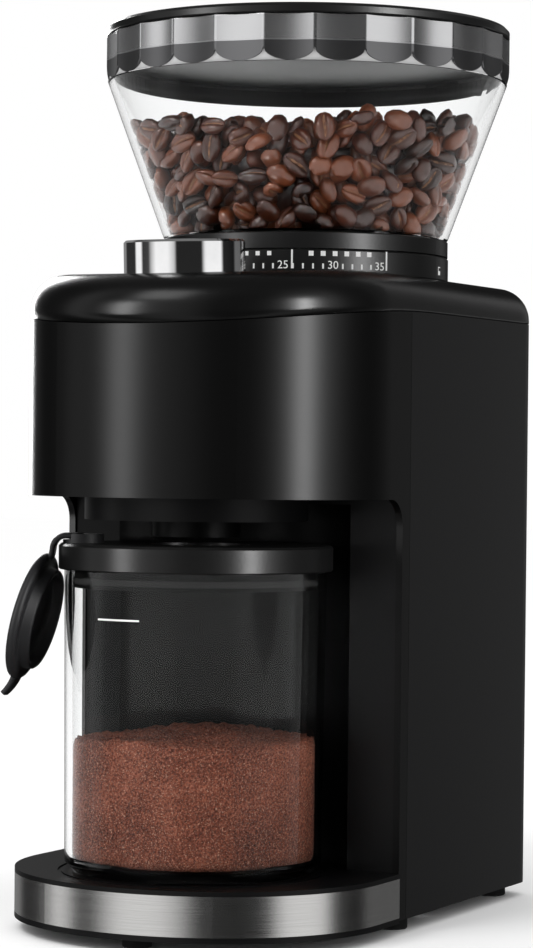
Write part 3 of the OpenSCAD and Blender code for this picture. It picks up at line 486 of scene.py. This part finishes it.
def makeGrip(sizes):
    # each flute is a shallow hollow, a parabola across, and its lower end is an arc, lowest mid-flute
    outerR = gripHigh[0]
    count = sizes["flutes"] * 24
    t = np.linspace(0, 2 * np.pi, count, endpoint=False)
    across = np.abs(((t * sizes["flutes"] / (2 * np.pi)) % 1) - 0.5) * 2     # 1 on a ridge, 0 mid-flute
    hollow = (1 - across ** 2)
    lowZ = gripLow[2] + sizes["scallop"] * (1 - np.sqrt(np.clip(1 - across ** 2, 0, 1)))
    rows = []
    for f in (0.0, 0.012, 0.3, 0.65, 0.988, 1.0):
        rows.append(np.stack([outerR - sizes["deep"] * hollow, lowZ + (gripHigh[2] - lowZ) * f], -1))
    inner = np.full(count, sizes["inner"])
    rows.append(np.stack([inner, np.full(count, gripHigh[2])], -1))
    rows.append(np.stack([inner, lowZ], -1))
    profile = np.stack(rows)
    r, z = profile[..., 0], profile[..., 1]
    points = np.stack([r * np.sin(t), hopperY - r * np.cos(t), z], -1)
    grip = meshPiece("gripBand", points, gridFaces(len(rows), count, True, True), "hopper", "grip_plastic")
    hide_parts("hopper_grip")
    dress(grip, finishes["grip_plastic"])
    # plain wall behind the scallops
    low, high = gripLow[2], gripLow[2] + sizes["footHigh"]
    ring = [(sizes["inner"], low), (sizes["footR"], low), (sizes["footR"], high), (sizes["inner"], high)]
    faces = gridFaces(4, 192, True, True)
    foot = meshPiece("gripFoot", turned(ring, hopperY, 192), faces, "hopper", "grip_plastic")
    dress(foot, extras["gripFoot"])


makeGrip(gripSizes)
print("grip band made")


# coffee beans

beanSizes = {"long": 5.3 * mm, "wide": 4.0 * mm, "thick": 3.3 * mm, "gap": 6.5 * mm,
             "low": 242.5 * mm, "high": 281 * mm, "footR": 50.0 * mm, "slope": 0.37, "rings": 7,
             "layers": ((0, 1.4 * mm, 40 * mm, 14000), (4.8 * mm, 8 * mm, 40 * mm, 9000),
                        (6 * mm, 58 * mm, 9 * mm, 14000)),
             "round": (0, 38, 64, 79, 90, 101, 116, 142, 180, 225, 270, 315)}


def beanShape(sizes):
    # an ellipsoid with one side flattened and a wavy groove along it: z = thick * (dome or flat) - groove
    u = np.linspace(0, np.pi, sizes["rings"])[:, None]
    v = np.radians(sizes["round"])[None, :]
    x = np.cos(u) * np.ones_like(v)
    y = np.sin(u) * np.cos(v)
    z = np.sin(u) * np.sin(v)
    flat = np.where(z > 0, z * 0.62, z)
    groove = np.exp(-(y / 0.17) ** 2) * (z > 0) * np.clip(1.02 - x ** 4, 0, 1)
    y = y + 0.12 * np.sin(2.6 * x) * (z > 0) * np.exp(-(y / 0.5) ** 2)
    z = (flat - 0.6 * groove) * sizes["thick"]
    return np.stack([x * sizes["long"], y * sizes["wide"], z], -1), groove


def beanPlaces(sizes):
    # random spots, first a layer against the wall, then one behind it, then the top;
    # each spot keeps its distance from the rest
    kept = np.empty((0, 3))
    for low, high, depth, tries in sizes["layers"]:
        for a, b, c in rng.uniform(0, 1, (tries, 3)):
            angle = 2 * math.pi * a
            top = sizes["high"] - 1.9 * mm * (1.2 + math.sin(3 * angle + 1) + 0.8 * math.sin(7 * angle))
            z = max(sizes["low"], top - depth) + (top - max(sizes["low"], top - depth)) * b
            wall = sizes["footR"] + (z - sizes["low"]) * sizes["slope"] - 2.9 * mm
            near, far = wall - low, max(0, wall - high)
            r = math.sqrt(c * near ** 2 + (1 - c) * far ** 2)
            spot = np.array([r * math.sin(angle), hopperY - r * math.cos(angle), z])
            if len(kept) and np.min(np.sum((kept - spot) ** 2, 1)) < sizes["gap"] ** 2:
                continue
            kept = np.vstack([kept, spot])
    return kept


def makeBeans(sizes):
    spots = beanPlaces(sizes)
    n = len(spots)
    shape, groove = beanShape(sizes)
    rings, around = shape.shape[:2]
    flatShape = shape.reshape(-1, 3)
    # the flat, grooved side looks mostly outwards, each bean turned and tilted by its own angles
    out = spots - np.array([0, hopperY, 0])
    face = np.arctan2(out[:, 1], out[:, 0])
    spin = rng.uniform(0, 2 * np.pi, n)
    tiltX = rng.normal(0, 0.55, n)
    tiltY = rng.normal(0, 0.55, n)
    flipped = rng.uniform(0, 1, n) < 0.42
    grow = rng.uniform(0.88, 1.08, (n, 1, 1))
    p = flatShape[None] * grow

    def turn(p, axis, angle):
        i, j = [(1, 2), (2, 0), (0, 1)][axis]
        c, s = np.cos(angle)[:, None], np.sin(angle)[:, None]
        q = p.copy()
        q[..., i] = c * p[..., i] - s * p[..., j]
        q[..., j] = s * p[..., i] + c * p[..., j]
        return q

    p = turn(p, 0, np.where(flipped, np.pi, 0) + tiltX)
    p = turn(p, 1, tiltY)
    p = turn(p, 2, spin)
    p = turn(p, 1, np.full(n, np.pi / 2))
    p = turn(p, 2, face)
    p = p + spots[:, None]
    # a bean that would reach past the wall lies flat against it
    off = np.hypot(p[..., 0], p[..., 1] - hopperY)
    room = sizes["footR"] - 0.35 * mm + (p[..., 2] - sizes["low"]) * sizes["slope"]
    pull = np.minimum(1, room / off)
    p[..., 0] *= pull
    p[..., 1] = hopperY + (p[..., 1] - hopperY) * pull
    p[..., 2] = np.maximum(p[..., 2], sizes["low"] - 1.2 * mm)
    faces = gridFaces(rings, around, False, True)
    faces = (faces[None] + (np.arange(n) * rings * around)[:, None, None]).reshape(-1, 4)
    tone = np.repeat(rng.uniform(0, 1, n), rings * around)
    beans = meshPiece("coffeeBeans", p, faces, "hopper", "clear_plastic", tone=tone,
                      crease=np.tile(groove.ravel(), n))
    dress(beans, extras["bean"])
    # a heap stands for the beans in the middle that can't be seen; it wears the bean finish without a tone,
    # so it comes out dark: painted shade between and behind the beans
    low, high = sizes["low"] + 1 * mm, sizes["high"] - 11 * mm
    wall = lambda z: sizes["footR"] + (z - sizes["low"]) * sizes["slope"] - 11 * mm
    profile = [(0, low), (wall(low), low)] + [(wall(z), z) for z in np.linspace(low + mm, high - mm, 14)]
    profile += [(wall(high) - 2 * mm, high)]
    profile += [(wall(high) * f, high + 1 * mm) for f in (0.7, 0.45, 0.2, 0)]

    def lumpy(r, z, t):
        amount = smoothNoise(r * np.sin(t) / mm, r * np.cos(t) / mm, z / mm, 5, 20, 0.3, 0.8)
        return r + 0.8 * mm * amount * (r > mm), z + 0.6 * mm * amount * (r > mm)

    faces = gridFaces(len(profile), 96, False, True)
    heap = meshPiece("beanHeap", turned(profile, hopperY, 96, lumpy), faces, "hopper", "clear_plastic")
    dress(heap, extras["bean"])
    print("beans made", n)


makeBeans(beanSizes)


# ground coffee

groundsSizes = {"r": 41.0 * mm, "foot": jarFloor + 3.6 * mm, "top": 66 * mm}


def makeGrounds(sizes):
    # a full jar-bottom plug whose top is a low heap with waves and crumbs
    r, low, top = sizes["r"], sizes["foot"], sizes["top"]
    profile = [(0, low), (r - 3 * mm, low), (r - 1.2 * mm, low + 0.5 * mm), (r - 0.2 * mm, low + 2.5 * mm)]
    profile += [(r, z) for z in np.linspace(low + 4 * mm, top - 2 * mm, 22)]
    profile += [(r * f, top) for f in np.linspace(0.985, 0, 34)]

    def heaped(rr, zz, t):
        x, y = rr * np.sin(t) / mm, rr * np.cos(t) / mm
        share = np.clip((zz - low) / (top - low), 0, 1) ** 6
        waves = smoothNoise(x, y, 0 * x, 3, 18, 0.04, 0.16)
        crumbs = smoothNoise(x, y, 0 * x, 8, 30, 0.8, 2.6)
        lift = 1.2 * mm * waves + 0.6 * mm * crumbs + 1.5 * mm * (1 - (rr / r) ** 2)
        skin = 0.12 * mm * smoothNoise(x, y, zz / mm, 21, 26, 1.0, 3.0) * (zz < top - mm) * (rr > 0.9 * r)
        return np.minimum(rr + skin, r + 0.1 * mm), zz + share * lift

    grounds = meshPiece("groundCoffee", turned(profile, jarY, 260, heaped),
                        gridFaces(len(profile), 260, False, True), "container", "clear_plastic")
    dress(grounds, extras["grounds"])


makeGrounds(groundsSizes)
print("grounds made")


# rubber flap of the container's lid

flapSizes = {"azimuth": math.radians(-153.5), "capR": 22 * mm, "rimR": 1.7 * mm, "thick": 3.4 * mm,
             "plugR": 17.6 * mm, "plugWall": 2.0 * mm, "plugDeep": 3.4 * mm, "lean": math.radians(14.3),
             "twist": math.radians(11), "hingeU": 43.4 * mm, "hingeZ": 134.0 * mm,
             "strapWide": 11 * mm, "strapThick": 2.0 * mm}


def flapToWorld(p, sizes):
    # from the flap's frame (outwards, sideways, up) to the machine's
    c, s = math.cos(sizes["azimuth"]), math.sin(sizes["azimuth"])
    return np.stack([c * p[..., 0] - s * p[..., 1], jarY + s * p[..., 0] + c * p[..., 1], p[..., 2]], -1)


def hung(p, sizes):
    # from the cap's own frame, axis along +X, to where it hangs, leaning outwards
    c, s = math.cos(sizes["lean"]), math.sin(sizes["lean"])
    z = p[..., 2] - sizes["capR"] - 0.6 * mm
    ct, st = math.cos(sizes["twist"]), math.sin(sizes["twist"])
    x, y = ct * p[..., 0] + st * p[..., 1], ct * p[..., 1] - st * p[..., 0]
    out = c * x - s * z + sizes["hingeU"] + 4.8 * mm
    return np.stack([out, y, s * x + c * z + sizes["hingeZ"] - 6.0 * mm], -1)


def makeFlap(sizes):
    # the cap is a turned profile (radius, along): dished outer face, rolled rim, plug ring on the inside
    r, t = sizes["capR"], sizes["thick"]
    ring = lambda k: (r - sizes["rimR"] + sizes["rimR"] * math.cos(k), t / 2 + sizes["rimR"] * math.sin(k))
    plug, wall = sizes["plugR"], sizes["plugWall"]
    profile = [(0, t - 1.2 * mm), (r * 0.4, t - 1.2 * mm), (r * 0.62, t - 1.1 * mm), (r * 0.66, t - 0.5 * mm),
               (r * 0.72, t - 0.4 * mm), (r * 0.76, t - 1.0 * mm), (r * 0.84, t - 0.9 * mm)]
    profile += [ring(k) for k in np.linspace(1.9, -1.9, 13)]
    profile += [(plug + 0.4 * mm, 0), (plug, -0.4 * mm), (plug - 0.3 * mm, -sizes["plugDeep"] + 0.5 * mm),
                (plug - 0.8 * mm, -sizes["plugDeep"]), (plug - wall + 0.3 * mm, -sizes["plugDeep"]),
                (plug - wall, -sizes["plugDeep"] + 0.5 * mm), (plug - wall, -0.2 * mm),
                (plug - wall - 0.6 * mm, 0.4 * mm), (plug * 0.5, 0.5 * mm), (0, 0.5 * mm)]
    profile = np.array(profile)
    a = np.linspace(0, 2 * np.pi, 96, endpoint=False)
    out, along = profile[:, :1], profile[:, 1:]
    p = np.stack([np.repeat(along, 96, 1), out * np.sin(a), out * np.cos(a)], -1)
    faces = gridFaces(len(profile), 96, False, True)
    cap = meshPiece("flapCap", flapToWorld(hung(p, sizes), sizes), faces, "flap", "flap_rubber")
    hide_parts("flap_cap")
    dress(cap, finishes["flap_rubber"])
    # pull tab below the cap, curling outwards: a rounded strip along a bent line
    s = np.linspace(0, 1, 14)
    along = np.stack([t / 2 + 2.6 * mm * s ** 2, -(r - 2.2 * mm) - 8.0 * mm * s], -1)
    stripPiece("flapTab", along, 4.2 * mm * (1 - 0.25 * s), 1.2 * mm * (1 - 0.2 * s), sizes, True)
    # strap: out from the anchor, round a bend and down to the cap
    u, z = sizes["hingeU"], sizes["hingeZ"]
    k = np.linspace(0, np.pi / 2, 10)
    bend = np.stack([u + 0.9 * mm + 4.3 * mm * np.sin(k), z - 4.6 * mm + 4.6 * mm * np.cos(k)], -1)
    line = np.concatenate([[[u - 4.9 * mm, z], [u - 2.5 * mm, z]], bend,
                           [[u + 5.5 * mm, z - 6.2 * mm], [u + 6.0 * mm, z - 8.0 * mm]]])
    halfWide = np.full(len(line), sizes["strapWide"] / 2)
    halfThick = np.full(len(line), sizes["strapThick"] / 2)
    stripPiece("flapStrap", line, halfWide, halfThick, sizes, False)


def stripPiece(name, line, halfWide, halfThick, sizes, onCap):
    # a superellipse section, |y|^4 + |n|^4, carried along a line in the flap's upright plane, ends drawn in
    grow = np.gradient(line, axis=0)
    grow /= np.linalg.norm(grow, axis=1)[:, None]
    n = np.stack([-grow[:, 1], grow[:, 0]], -1)
    a = np.linspace(0, 2 * np.pi, 28, endpoint=False)
    cy = np.sign(np.cos(a)) * np.abs(np.cos(a)) ** 0.35
    cn = np.sign(np.sin(a)) * np.abs(np.sin(a)) ** 0.6
    shrink = np.ones(len(line))
    shrink[0] = shrink[-1] = 0.0
    first, last = line[0] - grow[0] * 0.1 * mm, line[-1] + grow[-1] * 0.1 * mm
    centre = np.vstack([first, line, last])
    n = np.vstack([n[0], n, n[-1]])
    halfWide = np.r_[0, halfWide, 0]
    halfThick = np.r_[0, halfThick, 0]
    p = np.stack([centre[:, 0, None] + n[:, 0, None] * halfThick[:, None] * cn,
                  halfWide[:, None] * cy,
                  centre[:, 1, None] + n[:, 1, None] * halfThick[:, None] * cn], -1)
    if onCap:
        p = hung(p, sizes)
    faces = gridFaces(len(centre), 28, False, True)
    strip = meshPiece(name, flapToWorld(p, sizes), faces, "flap", "flap_rubber")
    if not onCap:
        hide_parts("flap_strap")
    return dress(strip, finishes["flap_rubber"])


makeFlap(flapSizes)
print("flap made")


# printed marks

markSizes = {"step": 3.87, "atThirty": 36.5, "tickWide": 0.6 * mm, "lift": 0.06 * mm, "sunk": 0.05 * mm,
             "tickLow": 227.0 * mm, "tickHigh": 228.8 * mm, "longHigh": 233.6 * mm, "squareZ": 232.3 * mm,
             "digitLow": 227.0 * mm, "digitHigh": 4.0 * mm}
fillSizes = {"r": 44.5 * mm, "low": 107 * mm, "high": 107.6 * mm, "wide": 16.8 * mm,
             "angle": math.radians(-7.5)}


def patchOnDrum(radius, centreY, angle, wide, low, high):
    # a thin curved box on a drum: columns across, rows up, outer and inner skins joined
    cols = max(2, int(wide / radius / math.radians(2)) + 2)
    t = angle + np.linspace(-0.5, 0.5, cols) * wide / radius
    rows = []
    inner, outer = radius - markSizes["sunk"], radius + markSizes["lift"]
    for rr, z in ((inner, low), (outer, low), (outer, high), (inner, high)):
        rows.append(np.stack([rr * np.sin(t), centreY - rr * np.cos(t), np.full(cols, z)], -1))
    points = np.stack(rows)
    faces = gridFaces(4, cols, True, False).tolist()
    ends = [[0, cols, 2 * cols, 3 * cols], [cols - 1, 2 * cols - 1, 3 * cols - 1, 4 * cols - 1]]
    return points.reshape(-1, 3), faces + ends


def joined(name, patches, body, slotName):
    points, faces, start = [], [], 0
    for p, f in patches:
        points.append(p)
        faces += [[k + start for k in face] for face in f]
        start += len(p)
    piece = meshPiece(name, np.concatenate(points), np.array(faces), body, slotName, smooth=False)
    return dress(piece, extras["white"])


def digitsOnDrum(name, words, radius, centreY, body):
    # flat numbers, given a little depth, then wrapped: angle = x / radius
    points, faces, start = [], [], 0
    for word, angle, low, size in words:
        curve = bpy.data.curves.new("number", "FONT")
        curve.body, curve.size, curve.align_x = word, size, "CENTER"
        curve.extrude, curve.resolution_u = 0.04 * mm, 3
        holder = bpy.data.objects.new("number", curve)
        bpy.context.scene.collection.objects.link(holder)
        bpy.context.view_layer.update()
        flat = bpy.data.meshes.new_from_object(holder)
        bpy.data.objects.remove(holder)
        bpy.data.curves.remove(curve)
        q = np.zeros(len(flat.vertices) * 3)
        flat.vertices.foreach_get("co", q)
        q = q.reshape(-1, 3)
        t = angle + q[:, 0] / radius
        rr = radius + 0.03 * mm + q[:, 2]
        points.append(np.stack([rr * np.sin(t), centreY - rr * np.cos(t), low + q[:, 1]], -1))
        faces += [[k + start for k in f.vertices] for f in flat.polygons]
        start += len(q)
        bpy.data.meshes.remove(flat)
    mesh = bpy.data.meshes.new(name)
    mesh.from_pydata(np.concatenate(points).tolist(), [], faces)
    work = bmesh.new()
    work.from_mesh(mesh)
    bmesh.ops.remove_doubles(work, verts=work.verts, dist=1e-7)
    bmesh.ops.recalc_face_normals(work, faces=work.faces)
    work.to_mesh(mesh)
    work.free()
    piece = bpy.data.objects.new(name, mesh)
    bpy.context.scene.collection.objects.link(piece)
    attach(piece, body)
    return dress(piece, extras["white"])


def makeDialMarks(sizes):
    patches, words = [], []
    bearing = lambda setting: math.radians(sizes["atThirty"] + (setting - 30) * sizes["step"])

    def tick(setting, high):
        angle = bearing(setting)
        patches.append(patchOnDrum(dialR, hopperY, angle, sizes["tickWide"], sizes["tickLow"], high))

    for setting in range(1, 36):
        if setting % 5 == 0:
            words.append((str(setting), bearing(setting), sizes["digitLow"], sizes["digitHigh"]))
        else:
            tick(setting, sizes["tickHigh"])
    for setting in (0.4, 7.5, 16.5, 25.9, 35.8):
        # tall bars part the grind ranges
        tick(setting, sizes["longHigh"])
    for middle, spots in ((4, 3), (12, 4), (21.2, 5), (30.8, 6)):
        # a row of squares, larger for a coarser grind, stands over each range
        wide = 0.5 * mm + 0.2 * mm * spots
        for k in range(spots):
            angle = bearing(middle + (k - (spots - 1) / 2) * 1.2)
            low, high = sizes["squareZ"] - wide / 2, sizes["squareZ"] + wide / 2
            patches.append(patchOnDrum(dialR, hopperY, angle, wide, low, high))
    # open lock: a shackle of short patches over a square body
    lock = math.radians(93)
    patches.append(patchOnDrum(dialR, hopperY, lock, 1.9 * mm, 227.0 * mm, 228.5 * mm))
    patches.append(patchOnDrum(dialR, hopperY, lock - 0.8 * mm / dialR, 0.35 * mm, 228.4 * mm, 229.9 * mm))
    patches.append(patchOnDrum(dialR, hopperY, lock, 1.95 * mm, 229.6 * mm, 229.95 * mm))
    joined("dialTicks", patches, "adjust_ring", "dial_plastic")
    digitsOnDrum("dialNumbers", words, dialR, hopperY, "adjust_ring")


def makeFillMark(sizes):
    line = patchOnDrum(sizes["r"], jarY, sizes["angle"], sizes["wide"], sizes["low"], sizes["high"])
    joined("fillMark", [line], "container", "clear_plastic")


makeDialMarks(markSizes)
makeFillMark(fillSizes)
print("marks made")


# light, floor, camera

studioSizes = {"shells": ("frontShell", "sideShell", "coverGloss", "lidPlastic", "dialPlastic", "flapRubber"),
               "room": 1.0, "ceiling": 0.18,
               "screens": ((-180, 0.02), (-154, 0.03), (-150, 0.25), (-120, 0.25), (-112, 0.03), (-80, 0.03),
                           (-75, 1), (-63, 1), (-58, 0.04), (-44, 0.06), (-38, 0.5), (-28, 1), (-4, 1),
                           (8, 0.6), (13, 0.02), (60, 0.02), (67, 0.9), (72, 1), (100, 1), (106, 0.02),
                           (134, 0.01), (140, 0.14), (164, 0.12), (172, 0.02)),
               "floor": 6, "aimZ": 0.17,
               "strips": (("stripLeft", 24, (-34, 1.5, 0.30), 0.30),
                          ("stripRight", 50, (72, 1.5, 0.30), 0.22),
                          ("rimRear", 0.15, (163, 0.5, 0.22), 0.07),
                          ("rimLeft", 20, (-135, 1.5, 0.30), 0.25))}
viewSizes = {"place": (0.4911, -0.9839, 0.1607), "turn": 0.4625, "roll": 0.011,
             "focal": 78.496203, "rise": -0.0157173}


def sheetOf(name, corners, material):
    mesh = bpy.data.meshes.new(name)
    mesh.from_pydata(corners, [], [list(range(len(corners)))])
    card = bpy.data.objects.new(name, mesh)
    bpy.context.scene.collection.objects.link(card)
    card.data.materials.append(material)
    card.visible_glossy = False       # shiny parts reflect the studio's screens, not the floor
    return card


def stageFinish(name, tint, rough):
    f = Finish(name, specular=0.0)
    f.feed("color", f.blend(f.noise(3), tint, [c * 0.985 for c in tint]))
    f.feed("roughness", rough + 0.05 * f.noise(20))
    return f.material


def areaLight(name, power, spot, wide, high, onlyOn=None):
    # spot is the bearing from the front towards +X in degrees, the distance and the height
    bearing, far, up = math.radians(spot[0]), spot[1], spot[2]
    place, aim = (far * math.sin(bearing), -far * math.cos(bearing), up), (0, 0, studioSizes["aimZ"])
    lamp = bpy.data.lights.new(name, "AREA")
    lamp.shape, lamp.size, lamp.size_y, lamp.energy = "RECTANGLE", wide, high, power
    holder = bpy.data.objects.new(name, lamp)
    bpy.context.scene.collection.objects.link(holder)
    if onlyOn:
        # strips draw highlights on the black shells alone
        holder.light_linking.receiver_collection = onlyOn
    way = np.array(aim, float) - np.array(place, float)
    way /= np.linalg.norm(way)
    side = np.cross(way, (0, 0, 1))
    side /= np.linalg.norm(side)
    up = np.cross(side, way)
    holder.matrix_world = Matrix([(side[0], up[0], -way[0], place[0]), (side[1], up[1], -way[1], place[1]),
                                  (side[2], up[2], -way[2], place[2]), (0, 0, 0, 1)])


def setStage():
    floor = stageFinish("paleFloor", (1.0, 1.0, 1.0), 0.9)
    far = studioSizes["floor"]
    sheetOf("floor", [(-far, -far, 0), (far, -far, 0), (far, far, 0), (-far, far, 0)], floor)
    setStudio()
    shells = bpy.data.collections.new("darkShells")
    for shown in bpy.context.scene.objects:
        worn = shown.data.materials if shown.type == "MESH" else ()
        if worn and worn[0].name in studioSizes["shells"]:
            shells.objects.link(shown)
    for name, power, spot, wide in studioSizes["strips"]:
        areaLight(name, power, spot, wide, 1.2, shells)
    areaLight("key", 6, (-20, 0.9, 1.1), 0.5, 0.5)


def setStudio():
    # what shiny parts reflect is a ring of white and dark screens; everything else sees an even white room
    world = bpy.data.worlds.new("studio")
    bpy.context.scene.world = world
    world.use_nodes = True
    world.cycles.sampling_method = "NONE"
    room = Finish.__new__(Finish)
    room.tree = world.node_tree
    way = room.node("ShaderNodeTexCoord", {}, {}, "Generated")
    x = room.node("ShaderNodeSeparateXYZ", {}, {"Vector": way}, "X")
    y = room.node("ShaderNodeSeparateXYZ", {}, {"Vector": way}, "Y")
    z = room.node("ShaderNodeSeparateXYZ", {}, {"Vector": way}, "Z")
    around = Wire(room, x.socket).maths("ARCTAN2", x, 0 - y) * (0.5 / math.pi) + 0.5
    stops = [((angle + 180) / 360, (level,) * 3) for angle, level in studioSizes["screens"]]
    screens = room.ramp(around, *stops)
    above = room.ramp(z * 0.5 + 0.5, (0.80, (0, 0, 0)), (0.93, (1, 1, 1)))
    mirrored = room.blend(above, screens, (studioSizes["ceiling"],) * 3)
    through = room.node("ShaderNodeLightPath", {}, {}, "Is Transmission Ray")
    shiny = room.node("ShaderNodeLightPath", {}, {}, "Is Glossy Ray") * (1 - through)
    matt = room.node("ShaderNodeLightPath", {}, {}, "Is Diffuse Ray")
    seen = room.blend(matt, (1, 1, 1), (studioSizes["room"],) * 3)
    lit = room.blend(shiny, seen, mirrored)
    world.node_tree.links.new(lit.socket, world.node_tree.nodes["Background"].inputs["Color"])
    world.node_tree.nodes["Background"].inputs["Strength"].default_value = 1.0


def setCamera(sizes):
    # level view from 26.5 degrees to the right of the front
    lens = bpy.data.cameras.new("view")
    lens.sensor_fit, lens.sensor_height, lens.lens = "VERTICAL", 24, sizes["focal"]
    lens.shift_y = sizes["rise"]
    lens.clip_end = 50
    camera = bpy.data.objects.new("view", lens)
    bpy.context.scene.collection.objects.link(camera)
    camera.matrix_world = (Matrix.Translation(sizes["place"]) @ Matrix.Rotation(sizes["turn"], 4, "Z")
                           @ Matrix.Rotation(math.pi / 2, 4, "X") @ Matrix.Rotation(sizes["roll"], 4, "Z"))
    bpy.context.scene.camera = camera


setStage()
setCamera(viewSizes)
bpy.context.scene.view_settings.view_transform = "Standard"
print("stage set")
